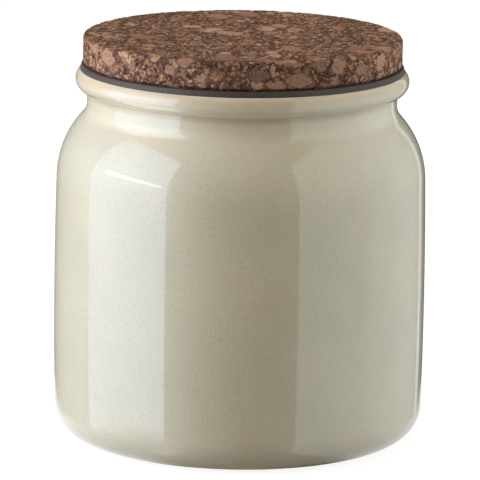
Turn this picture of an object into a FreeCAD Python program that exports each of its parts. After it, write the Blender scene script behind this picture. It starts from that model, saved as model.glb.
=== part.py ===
"""Stoneware storage jar with a cork lid and a silicone seal ring.

The jar stands on its foot ring at z = 0, with its axis on Z and all lengths in
millimetres. Its wall keeps one thickness: a flat base with a round corner, a side
that swells very slightly, a shoulder arc, a cove under the rim and a rolled rim
with a flat land on top. The lid is a cork disc whose plug hangs in the mouth. The
seal ring is a flange that lies between the rim's land and the disc, a sleeve that
sits in a seat turned into the plug, and soft fins that reach for the mouth's wall.
"""
import FreeCAD
import Part
import Sketcher

import math
import os
import re

# Name, value in millimetres (or a plain count) and meaning of each driving size.
SIZES = [
    ("body_radius", 60.0, "jar: radius where the side is widest"),
    ("belly_height", 45.0, "jar: height where the side is widest"),
    ("belly_radius", 1600.0, "jar: radius of the side's very slight swell"),
    ("corner_radius", 10.4, "jar: round corner between the base and the side"),
    ("shoulder_radius", 30.0, "jar: radius of the shoulder arc"),
    ("cove_radius", 6.4, "jar: radius of the hollow between shoulder and neck"),
    ("neck_inset", 10.1, "jar: how far the neck lies inside the side's widest line"),
    ("neck_depth", 10.8, "jar: depth below the land where the neck meets the hollow"),
    ("rim_height", 119.7, "jar: height of the rim's flat land"),
    ("bead_radius", 3.9, "jar: radius of the rolled rim's section"),
    ("bead_overhang", 3.75, "jar: how far the rolled rim stands out from the neck"),
    ("bead_drop", 3.05, "jar: how far the roll's centre lies below the land"),
    ("wall", 5.0, "jar: thickness of the wall"),
    ("floor_thickness", 5.0, "jar: thickness of the base above the foot's hollow"),
    ("floor_corner", 8.0, "jar: round corner between the inner floor and the wall"),
    ("mouth_round", 1.4, "jar: rounding of the mouth's upper edge"),
    ("foot_width", 5.0, "jar: width of the flat foot ring"),
    ("foot_recess", 1.6, "jar: depth of the hollow inside the foot ring"),
    ("foot_slope", 1.2, "jar: how far the hollow's side leans in over its depth"),
    ("foot_round", 0.6, "jar: rounding of the foot ring's inner edge"),
    ("disc_setback", 2.3, "lid: how far the disc's edge lies inside the rolled rim's"),
    ("disc_thickness", 9.3, "lid: thickness of the cork disc"),
    ("disc_top_round", 1.05, "lid: rounding of the disc's upper edge"),
    ("disc_low_round", 0.6, "lid: rounding of the disc's lower edge"),
    ("plug_gap", 2.5, "lid: gap between the plug's lip and the mouth's wall"),
    ("lip_step", 1.9, "lid: how far the plug's lip stands out from the seal's seat"),
    ("lip_height", 3.0, "lid: height of the lip that keeps the seal on the plug"),
    ("lip_bevel", 1.0, "lid: bevel round the plug's lower edge"),
    ("flange_thickness", 1.85, "seal: thickness of the flange between rim and disc"),
    ("flange_overhang", 0.95, "seal: how far the flange's lower edge passes the disc"),
    ("flange_slope", 0.6, "seal: how far the flange's upper edge is set back"),
    ("flange_round", 0.35, "seal: rounding of the flange's outer edges"),
    ("sleeve_thickness", 1.3, "seal: thickness of the sleeve round the plug"),
    ("sleeve_tail", 0.5, "seal: length of the sleeve below the lowest fin"),
    ("seal_slack", 0.1, "seal: gap between the sleeve and the cork round it"),
    ("fin_count", 3, "seal: number of fins"),
    ("fin_pitch", 2.0, "seal: distance from one fin to the next"),
    ("fin_start", 2.4, "seal: depth of the uppermost fin's root below the land"),
    ("fin_root", 1.1, "seal: thickness of a fin at the sleeve"),
    ("fin_tip", 0.5, "seal: thickness of a fin at its edge"),
    ("fin_lift", 0.7, "seal: how far a fin's edge is bent up in the mouth"),
    ("fin_gap", 0.15, "seal: gap between the fins and the mouth's wall"),
]

# Radii and heights that several pieces share, each a formula of the sizes above.
CORNER_ACROSS = (
    "body_radius - belly_radius"
    " + sqrt((belly_radius - corner_radius)^2 - (belly_height - corner_radius)^2)"
)
FLOOR_HEIGHT = "foot_recess + floor_thickness"
NECK_RADIUS = "body_radius - neck_inset"
MOUTH_RADIUS = f"{NECK_RADIUS} - wall"
DISC_RADIUS = f"{NECK_RADIUS} + bead_overhang - disc_setback"
DISC_LOW = "rim_height + flange_thickness"
LIP_RADIUS = f"{MOUTH_RADIUS} - plug_gap"
SEAT_RADIUS = f"{LIP_RADIUS} - lip_step"
SLEEVE_INNER = f"{SEAT_RADIUS} + seal_slack"
FIN_STACK = "fin_start + (fin_count - 1) * fin_pitch + fin_root"
SLEEVE_LOW = f"rim_height - ({FIN_STACK}) - sleeve_tail"
LIP_TOP = f"{SLEEVE_LOW} - seal_slack"
FIN_LEVEL = "rim_height - fin_start - fin_root / 2"

FULL_TURN = 360.0
SAME_PLACE = 0.01
START = 1
END = 2
CENTRE = 3
ORIGIN = (-1, START)
LEVEL_AXIS = -1
UPRIGHT_AXIS = -2


def make_sheet(doc):
    """Write the driving sizes into a spreadsheet, one named cell each."""
    sheet = doc.addObject("Spreadsheet::Sheet", "Sizes")
    for row, (name, value, meaning) in enumerate(SIZES, start=1):
        sheet.set(f"A{row}", meaning)
        sheet.set(f"B{row}", str(value))
        sheet.setAlias(f"B{row}", name)
    doc.recompute()
    return sheet


def cell(formula):
    """Return a formula in which each size's name points to its cell in the sheet."""
    names = {name for name, _, _ in SIZES}
    return re.sub(
        r"[a-z_]+",
        lambda word: f"Sizes.{word.group()}" if word.group() in names else word.group(),
        formula,
    )


def new_body(doc, label):
    """Add an empty body, with its own frame on the document's."""
    body = doc.addObject("PartDesign::Body", label)
    body.Label = label
    body.Placement = FreeCAD.Placement()
    return body


def origin_part(body, role):
    """Return the plane or axis of a body's own origin that has this role."""
    return next(item for item in body.Origin.OriginFeatures if item.Role == role)


class HalfSection:
    """A closed half-section in a body's XZ plane, to be turned about the Z axis."""

    def __init__(self, body, name):
        self.sketch = body.newObject("Sketcher::SketchObject", name)
        self.sketch.AttachmentSupport = [(origin_part(body, "XZ_Plane"), "")]
        self.sketch.MapMode = "FlatFace"

    def line(self, start, end):
        """Draw a straight edge and return its number."""
        ends = [FreeCAD.Vector(across, up, 0) for across, up in (start, end)]
        return self.sketch.addGeometry(Part.LineSegment(*ends), False)

    def arc(self, centre, radius, start, end):
        """Draw an arc that runs anticlockwise from start to end, in radians."""
        circle = Part.Circle(FreeCAD.Vector(*centre, 0), FreeCAD.Vector(0, 0, 1), radius)
        return self.sketch.addGeometry(Part.ArcOfCircle(circle, start, end), False)

    def rule(self, kind, *elements):
        """Add a geometric constraint, such as Tangent or Horizontal."""
        self.sketch.addConstraint(Sketcher.Constraint(kind, *elements))

    def bind(self, name, kind, elements, drawn, formula):
        """Add a named dimension of the drawn value and bind it to the sheet."""
        number = self.sketch.addConstraint(Sketcher.Constraint(kind, *elements, drawn))
        self.sketch.renameConstraint(number, name)
        self.sketch.setExpression(f"Constraints.{name}", cell(formula))

    def radius(self, name, edge, formula):
        """Size an arc's radius."""
        self.bind(name, "Radius", (edge,), self.sketch.Geometry[edge].Radius, formula)

    def across(self, name, edge, point, formula):
        """Size a point's distance to the right of the origin."""
        drawn = self.sketch.getPoint(edge, point).x
        self.bind(name, "DistanceX", (*ORIGIN, edge, point), drawn, formula)

    def up(self, name, edge, point, formula):
        """Size a point's height above the origin."""
        drawn = self.sketch.getPoint(edge, point).y
        self.bind(name, "DistanceY", (*ORIGIN, edge, point), drawn, formula)

    def polygon(self, corners):
        """Draw a closed outline of straight edges, sized corner by corner.

        Each corner is (name, (radius, height), radius formula, height formula). A
        corner without a formula has its edge from the last corner upright or level.
        """
        places = [place for _, place, _, _ in corners]
        edges = [self.line(a, b) for a, b in zip(places, places[1:] + places[:1])]
        for edge, following in zip(edges, edges[1:] + edges[:1]):
            self.rule("Coincident", edge, END, following, START)
        for edge, before, corner in zip(edges, edges[-1:] + edges[:-1], corners):
            name, (radius, _), across, up = corner
            if across:
                self.across(f"{name}_across", edge, START, across)
            elif radius == 0.0:
                self.rule("PointOnObject", edge, START, UPRIGHT_AXIS)
            else:
                self.rule("Vertical", before)
            if up:
                self.up(f"{name}_up", edge, START, up)
            else:
                self.rule("Horizontal", before)


def turn(body, section, name, kind="PartDesign::Revolution"):
    """Turn a half-section a full circle about the Z axis, to add or to cut."""
    feature = body.newObject(kind, name)
    feature.Profile = section.sketch
    feature.ReferenceAxis = (section.sketch, ["V_Axis"])
    feature.Angle = FULL_TURN
    body.Document.recompute()
    return feature


def ring_edges(feature, rings):
    """Name a feature's circular edges, each found by its (radius, height)."""
    found = []
    for radius, height in rings:
        matches = [
            f"Edge{number}"
            for number, edge in enumerate(feature.Shape.Edges, start=1)
            if isinstance(edge.Curve, Part.Circle)
            and abs(edge.Curve.Radius - radius) < SAME_PLACE
            and abs(edge.Curve.Center.z - height) < SAME_PLACE
        ]
        if not matches:
            raise RuntimeError(f"{feature.Name} has no ring of radius {radius} at {height}")
        found += matches
    return found


def dress(body, base, kind, name, rings, amount, formula):
    """Round or bevel rings of a feature, by a Fillet's Radius or a Chamfer's Size."""
    feature = body.newObject(kind, name)
    feature.Base = (base, ring_edges(base, rings))
    feature.setExpression(amount, cell(formula))
    body.Document.recompute()
    return feature


def direction(start, end):
    """Return the angle of the line from one point to another."""
    return math.atan2(end[1] - start[1], end[0] - start[0])


def beside(centre, distance, height):
    """Return the point at this height that lies this far to the right of a centre."""
    return centre[0] + math.sqrt(distance ** 2 - (height - centre[1]) ** 2), height


def meeting(first, first_radius, second, second_radius):
    """Return the lower right point that lies at both radii from two centres."""
    gap = math.dist(first, second)
    along = (gap ** 2 + first_radius ** 2 - second_radius ** 2) / (2 * gap)
    aside = math.sqrt(first_radius ** 2 - along ** 2)
    ahead = direction(first, second)
    across = along * math.cos(ahead) - aside * math.sin(ahead)
    up = along * math.sin(ahead) + aside * math.cos(ahead)
    return first[0] + across, first[1] + up


def draw_jar_wall(body, size):
    """Draw the jar's half-section: its outer line and its inner line, in one loop.

    The side, the shoulder and the cove each share their centre with the inner arc
    behind them, so the wall keeps its thickness from the floor's corner to the rim.
    """
    wall = size["wall"]
    belly = size["belly_radius"]
    shoulder = size["shoulder_radius"]
    cove = size["cove_radius"]
    neck = size["body_radius"] - size["neck_inset"]
    bead = size["bead_radius"]
    rim = size["rim_height"]
    floor = size["foot_recess"] + size["floor_thickness"]
    corner = size["corner_radius"]
    floor_corner = size["floor_corner"]
    belly_centre = (size["body_radius"] - belly, size["belly_height"])
    corner_centre = beside(belly_centre, belly - corner, corner)
    inner_centre = beside(belly_centre, belly - wall - floor_corner, floor + floor_corner)
    cove_centre = (neck + cove, rim - size["neck_depth"])
    shoulder_centre = meeting(cove_centre, shoulder + cove, belly_centre, belly - shoulder)
    low_angle = direction(belly_centre, corner_centre)
    inner_angle = direction(belly_centre, inner_centre)
    high_angle = direction(belly_centre, shoulder_centre)
    turn_angle = direction(shoulder_centre, cove_centre)

    bead_centre = (neck + size["bead_overhang"] - bead, rim - size["bead_drop"])
    bead_start = -math.acos((neck - bead_centre[0]) / bead)
    bead_end = math.asin(size["bead_drop"] / bead)
    crease = (neck, bead_centre[1] + bead * math.sin(bead_start))
    land_outer = (bead_centre[0] + bead * math.cos(bead_end), rim)
    mouth_top = (neck - wall, rim)
    mouth_low = (neck - wall, cove_centre[1])

    section = HalfSection(body, "JarSection")
    base_line = section.line((0, 0), (corner_centre[0], 0))
    corner_arc = section.arc(corner_centre, corner, -math.pi / 2, low_angle)
    belly_arc = section.arc(belly_centre, belly, low_angle, high_angle)
    shoulder_arc = section.arc(shoulder_centre, shoulder, high_angle, turn_angle)
    cove_arc = section.arc(cove_centre, cove, math.pi, math.pi + turn_angle)
    neck_line = section.line((neck, cove_centre[1]), crease)
    bead_arc = section.arc(bead_centre, bead, bead_start, bead_end)
    land_line = section.line(land_outer, mouth_top)
    mouth_line = section.line(mouth_top, mouth_low)
    inner_cove = section.arc(cove_centre, cove + wall, math.pi, math.pi + turn_angle)
    inner_shoulder = section.arc(shoulder_centre, shoulder - wall, high_angle, turn_angle)
    inner_belly = section.arc(belly_centre, belly - wall, inner_angle, high_angle)
    inner_corner = section.arc(inner_centre, floor_corner, -math.pi / 2, inner_angle)
    floor_line = section.line((inner_centre[0], floor), (0, floor))
    axis_line = section.line((0, floor), (0, 0))

    section.rule("Coincident", base_line, START, *ORIGIN)
    section.rule("Tangent", base_line, END, corner_arc, START)
    section.rule("Tangent", corner_arc, END, belly_arc, START)
    section.rule("Tangent", belly_arc, END, shoulder_arc, START)
    section.rule("Tangent", shoulder_arc, END, cove_arc, END)
    section.rule("Tangent", cove_arc, START, neck_line, START)
    section.rule("Coincident", neck_line, END, bead_arc, START)
    section.rule("Coincident", bead_arc, END, land_line, START)
    section.rule("Coincident", land_line, END, mouth_line, START)
    section.rule("Tangent", mouth_line, END, inner_cove, START)
    section.rule("Tangent", inner_cove, END, inner_shoulder, END)
    section.rule("Tangent", inner_shoulder, START, inner_belly, END)
    section.rule("Tangent", inner_belly, START, inner_corner, END)
    section.rule("Tangent", inner_corner, START, floor_line, START)
    section.rule("Coincident", floor_line, END, axis_line, START)
    section.rule("Coincident", axis_line, END, *ORIGIN)
    for level in (base_line, land_line, floor_line):
        section.rule("Horizontal", level)
    for upright in (neck_line, mouth_line, axis_line):
        section.rule("Vertical", upright)
    for inner, outer in (
        (inner_belly, belly_arc), (inner_shoulder, shoulder_arc), (inner_cove, cove_arc),
    ):
        section.rule("Coincident", inner, CENTRE, outer, CENTRE)

    section.radius("corner", corner_arc, "corner_radius")
    section.radius("belly", belly_arc, "belly_radius")
    section.radius("shoulder", shoulder_arc, "shoulder_radius")
    section.radius("cove", cove_arc, "cove_radius")
    section.radius("bead", bead_arc, "bead_radius")
    section.radius("inner_belly", inner_belly, "belly_radius - wall")
    section.radius("floor_corner", inner_corner, "floor_corner")
    section.across("belly_across", belly_arc, CENTRE, "body_radius - belly_radius")
    section.across("neck_across", neck_line, START, NECK_RADIUS)
    section.across("bead_across", bead_arc, CENTRE, f"{NECK_RADIUS} + bead_overhang - bead_radius")
    section.up("belly_up", belly_arc, CENTRE, "belly_height")
    section.up("neck_up", neck_line, START, "rim_height - neck_depth")
    section.up("bead_up", bead_arc, CENTRE, "rim_height - bead_drop")
    section.up("rim_up", land_line, START, "rim_height")
    section.up("floor_up", floor_line, START, FLOOR_HEIGHT)
    return section, corner_centre[0]


def make_jar(doc, size):
    """Make the jar: one turned wall, the hollow in its foot and its two eased rings."""
    body = new_body(doc, "stoneware_jar")
    section, foot_outer = draw_jar_wall(body, size)
    turn(body, section, "JarWall")

    foot_inner = foot_outer - size["foot_width"]
    recess = size["foot_recess"]
    foot_edge = f"{CORNER_ACROSS} - foot_width"
    hollow = HalfSection(body, "FootSection")
    hollow.polygon([
        ("middle_low", (0.0, 0.0), None, "0 mm"),
        ("edge_low", (foot_inner, 0.0), foot_edge, None),
        ("edge_high", (foot_inner - size["foot_slope"], recess), f"{foot_edge} - foot_slope",
         "foot_recess"),
        ("middle_high", (0.0, recess), None, None),
    ])
    foot = turn(body, hollow, "FootHollow", "PartDesign::Groove")
    eased = dress(body, foot, "PartDesign::Fillet", "FootEdge", [(foot_inner, 0.0)],
                  "Radius", "foot_round")
    mouth = (size["body_radius"] - size["neck_inset"] - size["wall"], size["rim_height"])
    return dress(body, eased, "PartDesign::Fillet", "MouthEdge", [mouth],
                 "Radius", "mouth_round")


def seal_places(size):
    """Work out the radii and heights at which plug and seal fit each other."""
    neck = size["body_radius"] - size["neck_inset"]
    stack = size["fin_start"] + (size["fin_count"] - 1) * size["fin_pitch"] + size["fin_root"]
    places = {
        "disc": neck + size["bead_overhang"] - size["disc_setback"],
        "mouth": neck - size["wall"],
        "disc_low": size["rim_height"] + size["flange_thickness"],
        "sleeve_low": size["rim_height"] - stack - size["sleeve_tail"],
    }
    places["lip"] = places["mouth"] - size["plug_gap"]
    places["seat"] = places["lip"] - size["lip_step"]
    places["sleeve"] = places["seat"] + size["seal_slack"]
    places["lip_top"] = places["sleeve_low"] - size["seal_slack"]
    places["plug_low"] = places["lip_top"] - size["lip_height"]
    return places


def make_lid(doc, size):
    """Make the cork lid: a disc, and a plug with a turned seat for the seal's sleeve."""
    body = new_body(doc, "cork_lid")
    at = seal_places(size)
    disc = at["disc"]
    disc_top = at["disc_low"] + size["disc_thickness"]
    section = HalfSection(body, "LidSection")
    section.polygon([
        ("middle_low", (0.0, at["plug_low"]), None, f"{LIP_TOP} - lip_height"),
        ("lip_low", (at["lip"], at["plug_low"]), LIP_RADIUS, None),
        ("lip_top", (at["lip"], at["lip_top"]), None, LIP_TOP),
        ("seat_low", (at["seat"], at["lip_top"]), SEAT_RADIUS, None),
        ("seat_top", (at["seat"], at["disc_low"]), None, DISC_LOW),
        ("disc_low", (disc, at["disc_low"]), DISC_RADIUS, None),
        ("disc_top", (disc, disc_top), None, f"{DISC_LOW} + disc_thickness"),
        ("middle_top", (0.0, disc_top), None, None),
    ])
    turned = turn(body, section, "LidDisc")
    top = dress(body, turned, "PartDesign::Fillet", "DiscTopEdge", [(disc, disc_top)],
                "Radius", "disc_top_round")
    low = dress(body, top, "PartDesign::Fillet", "DiscLowEdge", [(disc, at["disc_low"])],
                "Radius", "disc_low_round")
    return dress(body, low, "PartDesign::Chamfer", "PlugEdge", [(at["lip"], at["plug_low"])],
                 "Size", "lip_bevel")


def make_seal(doc, size):
    """Make the silicone ring: flange and sleeve in one section, then a stack of fins."""
    body = new_body(doc, "silicone_seal")
    at = seal_places(size)
    rim = size["rim_height"]
    flange = at["disc"] + size["flange_overhang"]
    flange_top = flange - size["flange_slope"]
    sleeve_outer = at["sleeve"] + size["sleeve_thickness"]
    flange_edge = f"{DISC_RADIUS} + flange_overhang"
    section = HalfSection(body, "SealSection")
    section.polygon([
        ("sleeve_low", (at["sleeve"], at["sleeve_low"]), SLEEVE_INNER, SLEEVE_LOW),
        ("sleeve_edge", (sleeve_outer, at["sleeve_low"]), f"{SLEEVE_INNER} + sleeve_thickness",
         None),
        ("flange_root", (sleeve_outer, rim), None, "rim_height"),
        ("flange_low", (flange, rim), flange_edge, None),
        ("flange_top", (flange_top, at["disc_low"]), f"{flange_edge} - flange_slope", DISC_LOW),
        ("sleeve_top", (at["sleeve"], at["disc_low"]), SLEEVE_INNER, None),
    ])
    turned = turn(body, section, "SealRing")
    rings = [(flange, rim), (flange_top, at["disc_low"])]
    dress(body, turned, "PartDesign::Fillet", "FlangeEdges", rings, "Radius", "flange_round")

    level = rim - size["fin_start"] - size["fin_root"] / 2
    edge_level = level + size["fin_lift"]
    rooted = sleeve_outer - size["sleeve_thickness"] / 2
    reach = at["mouth"] - size["fin_gap"]
    inside = f"{SLEEVE_INNER} + sleeve_thickness / 2"
    tip = f"{FIN_LEVEL} + fin_lift"
    fin = HalfSection(body, "FinSection")
    fin.polygon([
        ("root_low", (rooted, level - size["fin_root"] / 2), inside, f"{FIN_LEVEL} - fin_root / 2"),
        ("tip_low", (reach, edge_level - size["fin_tip"] / 2), f"{MOUTH_RADIUS} - fin_gap",
         f"{tip} - fin_tip / 2"),
        ("tip_high", (reach, edge_level + size["fin_tip"] / 2), None, f"{tip} + fin_tip / 2"),
        ("root_high", (rooted, level + size["fin_root"] / 2), inside,
         f"{FIN_LEVEL} + fin_root / 2"),
    ])
    first_fin = turn(body, fin, "Fin")
    stack = body.newObject("PartDesign::LinearPattern", "FinStack")
    stack.Originals = [first_fin]
    stack.Direction = (origin_part(body, "Z_Axis"), [""])
    stack.Reversed = True
    stack.setExpression("Occurrences", cell("fin_count"))
    stack.setExpression("Length", cell("(fin_count - 1) * fin_pitch"))
    body.Tip = stack
    doc.recompute()
    return stack


def check(doc, bodies):
    """Stop if any object of the document has failed or a body isn't one sound solid."""
    for item in doc.Objects:
        if "Invalid" in item.State or "Error" in item.State:
            raise RuntimeError(f"{item.Name} failed: {item.State}")
    for body in bodies:
        shape = body.Shape
        if shape.isNull() or not shape.isValid() or len(shape.Solids) != 1:
            raise RuntimeError(f"{body.Label} isn't one sound solid")


def main():
    """Build the jar, its lid and its seal, and write each to a STEP file."""
    doc = FreeCAD.newDocument("StorageJar")
    sheet = make_sheet(doc)
    size = {name: sheet.get(name) for name, _, _ in SIZES}
    tips = [make_jar(doc, size), make_lid(doc, size), make_seal(doc, size)]
    bodies = [tip.getParentGeoFeatureGroup() for tip in tips]
    check(doc, bodies)
    os.makedirs("parts", exist_ok=True)
    for body in bodies:
        body.Shape.exportStep(f"parts/{body.Label}.step")
        print(f"{body.Label}: {body.Shape.Volume / 1000:.1f} cm3")


main()
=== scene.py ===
"""Looks, light and camera for a stoneware storage jar with a cork lid and a silicone seal.

Every size of the jar, the lid and the seal is in millimetres, as on the maker's drawing, and
becomes metres at the last step. The studio's sizes are in metres. The jar and the seal are
turned from the same half-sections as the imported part. The lid is turned too, then pitted and
worn as a ground slab of pressed cork is, and its foot stands a little clear of the seal.
"""

import logging
import math
from collections.abc import Iterable, Mapping, Sequence
from dataclasses import dataclass
from enum import Enum
from typing import Any

import bmesh
import bpy
from mathutils import Matrix, Vector, noise

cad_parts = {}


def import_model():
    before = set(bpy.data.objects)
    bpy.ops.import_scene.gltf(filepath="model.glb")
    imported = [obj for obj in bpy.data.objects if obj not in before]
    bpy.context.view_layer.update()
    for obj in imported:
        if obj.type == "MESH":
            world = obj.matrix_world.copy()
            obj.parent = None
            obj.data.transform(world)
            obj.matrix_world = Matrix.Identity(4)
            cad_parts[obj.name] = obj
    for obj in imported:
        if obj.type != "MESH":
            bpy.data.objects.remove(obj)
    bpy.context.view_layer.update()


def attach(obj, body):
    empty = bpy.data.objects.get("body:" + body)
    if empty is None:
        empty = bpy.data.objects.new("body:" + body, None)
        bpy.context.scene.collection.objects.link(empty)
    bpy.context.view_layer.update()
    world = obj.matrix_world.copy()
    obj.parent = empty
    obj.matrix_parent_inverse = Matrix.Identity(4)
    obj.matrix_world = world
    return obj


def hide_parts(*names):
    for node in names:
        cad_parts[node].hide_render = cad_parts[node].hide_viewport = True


LOG = logging.getLogger("storage_jar")
MM = 0.001
SAME_PLACE = 0.02
WELD = 0.001
Point = tuple[float, float]
Colour = tuple[float, float, float, float]


def srgb(code: str) -> Colour:
    """Turn an sRGB hex colour to linear.

    Args:
        code: The colour as "#RRGGBB".

    Returns:
        Linear red, green, blue and an alpha of 1.
    """
    parts = [int(code[place:place + 2], 16) / 255 for place in (1, 3, 5)]
    red, green, blue = (
        part / 12.92 if part <= 0.04045 else ((part + 0.055) / 1.055) ** 2.4 for part in parts
    )
    return red, green, blue, 1.0


def per_mm(size: float) -> float:
    """Return the texture scale, per metre, of a pattern that repeats every size mm."""
    return 1 / (size * MM)


def add_node(
    tree: bpy.types.NodeTree,
    kind: str,
    links: Mapping[str | int, Any] | None = None,
    stops: Sequence[tuple[float, Colour]] = (),
    **settings: Any,
) -> bpy.types.Node:
    """Add a shader node with its settings, its inputs and its ramp.

    Args:
        tree: The node tree that gets the node.
        kind: The node's type.
        links: For each input, by name or number, a socket to link or a fixed value.
        stops: Positions and colours, for a node that has a ramp.
        settings: Properties of the node.

    Returns:
        The new node.
    """
    node = tree.nodes.new(kind)
    for name, value in settings.items():
        setattr(node, name, value)
    for place, value in (links or {}).items():
        if isinstance(value, bpy.types.NodeSocket):
            tree.links.new(value, node.inputs[place])
        else:
            node.inputs[place].default_value = value
    for number, (position, colour) in enumerate(stops):
        ramp = node.color_ramp.elements
        stop = ramp[number] if number < 2 else ramp.new(position)
        stop.position = position
        stop.color = colour
    return node


def new_material(name: str) -> tuple[bpy.types.Material, bpy.types.NodeTree]:
    """Make a material with an empty node tree.

    Args:
        name: The material's name.

    Returns:
        The material and its node tree.
    """
    material = bpy.data.materials.new(name)
    material.use_nodes = True
    material.node_tree.nodes.clear()
    return material, material.node_tree


@dataclass(frozen=True)
class ReducedGlaze:
    """Stoneware glaze, dipped and fired to a glassy, faintly satin coat.

    The eye gets a pale grey-green cream with a pepper of fine specks, slow clouds where
    the dip ran thicker, a paler neck where it ran thin, and warm tan where the glaze breaks
    over the rim's roll. The neck and the rim are given by their heights on the jar.
    """

    body: str = "#C9BFA3"
    thick: str = "#BFB89D"
    speck: str = "#988A6C"
    breaking: str = "#BE9F72"
    thin: str = "#DED0B1"
    blush: str = "#CBAC88"
    ior: float = 1.5
    haze: float = 0.46
    gloss: float = 0.055
    cloud: float = 26.0
    pepper: float = 0.7
    skin: float = 7.0
    skin_depth: float = 0.25
    wander: float = 2.4
    neck_low: float = 101.0
    neck_high: float = 109.0
    rim_low: float = 111.6
    rim_high: float = 120.6

    def build(self) -> bpy.types.Material:
        """Make the glaze.

        Returns:
            The glaze's material.
        """
        material, tree = new_material("stoneware_dipped_glaze")
        place = add_node(tree, "ShaderNodeTexCoord").outputs["Object"]
        clouds = add_node(tree, "ShaderNodeTexNoise", {
            "Vector": place, "Scale": per_mm(self.cloud), "Detail": 3.0, "Roughness": 0.5,
        })
        cloudy = add_node(tree, "ShaderNodeValToRGB", {0: clouds.outputs["Fac"]}, stops=(
            (0.36, srgb(self.body)), (0.68, srgb(self.thick)),
        ))
        # The iron specks are finer than this, and are drawn as coarse as shows.
        pepper = add_node(tree, "ShaderNodeTexNoise", {
            "Vector": place, "Scale": per_mm(self.pepper), "Detail": 2.0, "Roughness": 0.6,
        })
        peppered = add_node(tree, "ShaderNodeMapRange", {
            "Value": pepper.outputs["Fac"], "From Min": 0.50, "From Max": 0.70,
            "To Max": 0.30,
        })
        specked = add_node(tree, "ShaderNodeMix", {
            0: peppered.outputs[0], 6: cloudy.outputs["Color"], 7: srgb(self.speck),
        }, data_type="RGBA")
        warm = add_node(tree, "ShaderNodeTexNoise", {
            "Vector": place, "Scale": per_mm(self.cloud * 0.7), "Detail": 1.0,
        })
        warmth = add_node(tree, "ShaderNodeMapRange", {
            "Value": warm.outputs["Fac"], "From Min": 0.58, "From Max": 0.80,
            "To Max": 0.16,
        })
        blushed = add_node(tree, "ShaderNodeMix", {
            0: warmth.outputs[0], 6: specked.outputs[2], 7: srgb(self.blush),
        }, data_type="RGBA")
        height = add_node(tree, "ShaderNodeSeparateXYZ", {0: place}).outputs["Z"]
        wander = add_node(tree, "ShaderNodeMath", {
            0: clouds.outputs["Fac"], 1: self.wander * MM, 2: height,
        }, operation="MULTIPLY_ADD")
        break_band = add_node(tree, "ShaderNodeMapRange", {
            "Value": wander.outputs[0], "From Min": self.rim_low * MM,
            "From Max": self.rim_high * MM,
        })
        thinness = add_node(tree, "ShaderNodeMapRange", {
            "Value": wander.outputs[0], "From Min": self.neck_low * MM,
            "From Max": self.neck_high * MM, "To Max": 0.35,
        })
        thinned = add_node(tree, "ShaderNodeMix", {
            0: thinness.outputs[0], 6: blushed.outputs[2], 7: srgb(self.thin),
        }, data_type="RGBA")
        breaks = add_node(tree, "ShaderNodeValToRGB", {0: break_band.outputs[0]}, stops=(
            (0.0, srgb("#000000")), (0.16, srgb("#ACACAC")), (0.36, srgb("#303030")),
            (0.66, srgb("#202020")), (0.86, srgb("#C4C4C4")), (1.0, srgb("#404040")),
        ))
        glazed = add_node(tree, "ShaderNodeMix", {
            0: breaks.outputs["Color"], 6: thinned.outputs[2], 7: srgb(self.breaking),
        }, data_type="RGBA")
        skin = add_node(tree, "ShaderNodeTexNoise", {
            "Vector": place, "Scale": per_mm(self.skin), "Detail": 2.0,
        })
        bump = add_node(tree, "ShaderNodeBump", {
            "Height": skin.outputs["Fac"], "Strength": 0.05, "Distance": self.skin_depth * MM,
        })
        shader = add_node(tree, "ShaderNodeBsdfPrincipled", {
            "Base Color": glazed.outputs[2], "Roughness": self.haze, "IOR": self.ior,
            "Coat Weight": 1.0, "Coat Roughness": self.gloss, "Coat IOR": self.ior,
            "Normal": bump.outputs[0], "Coat Normal": bump.outputs[0],
        })
        add_node(tree, "ShaderNodeOutputMaterial", {0: shader.outputs[0]})
        return material


@dataclass(frozen=True)
class BareStoneware:
    """Unglazed stoneware clay, sponged clean for the kiln shelf: dry, buff and gritty."""

    clay: str = "#B7A88C"
    grog: str = "#8A7658"
    grit: float = 0.7
    grit_depth: float = 0.15
    roughness: float = 0.85

    def build(self) -> bpy.types.Material:
        """Make the bare clay.

        Returns:
            The clay's material.
        """
        material, tree = new_material("stoneware_bare_clay")
        place = add_node(tree, "ShaderNodeTexCoord").outputs["Object"]
        grain = add_node(tree, "ShaderNodeTexNoise", {
            "Vector": place, "Scale": per_mm(self.grit), "Detail": 3.0, "Roughness": 0.7,
        })
        colour = add_node(tree, "ShaderNodeValToRGB", {0: grain.outputs["Fac"]}, stops=(
            (0.35, srgb(self.grog)), (0.58, srgb(self.clay)),
        ))
        bump = add_node(tree, "ShaderNodeBump", {
            "Height": grain.outputs["Fac"], "Strength": 0.5, "Distance": self.grit_depth * MM,
        })
        shader = add_node(tree, "ShaderNodeBsdfPrincipled", {
            "Base Color": colour.outputs["Color"], "Roughness": self.roughness,
            "Normal": bump.outputs[0],
        })
        add_node(tree, "ShaderNodeOutputMaterial", {0: shader.outputs[0]})
        return material


@dataclass(frozen=True)
class CorkGrade:
    """One grade of clean cork flake in the mix.

    The spacing and the raggedness are in mm. The share is the part of the places that hold a
    flake, and the radius is the flake's, with the spacing as 1.
    """

    spacing: float
    share: float
    radius: float
    ragged: float


@dataclass(frozen=True)
class CorkFlake:
    """One large clean flake, by its bearing, its radius and its height above the disc's foot.

    The bearing is in degrees from the front, to the right where positive. The sizes, in mm,
    run across, inwards and up.
    """

    bearing: float
    radius: float
    height: float
    sizes: tuple[float, float, float]
    colour: str


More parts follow.
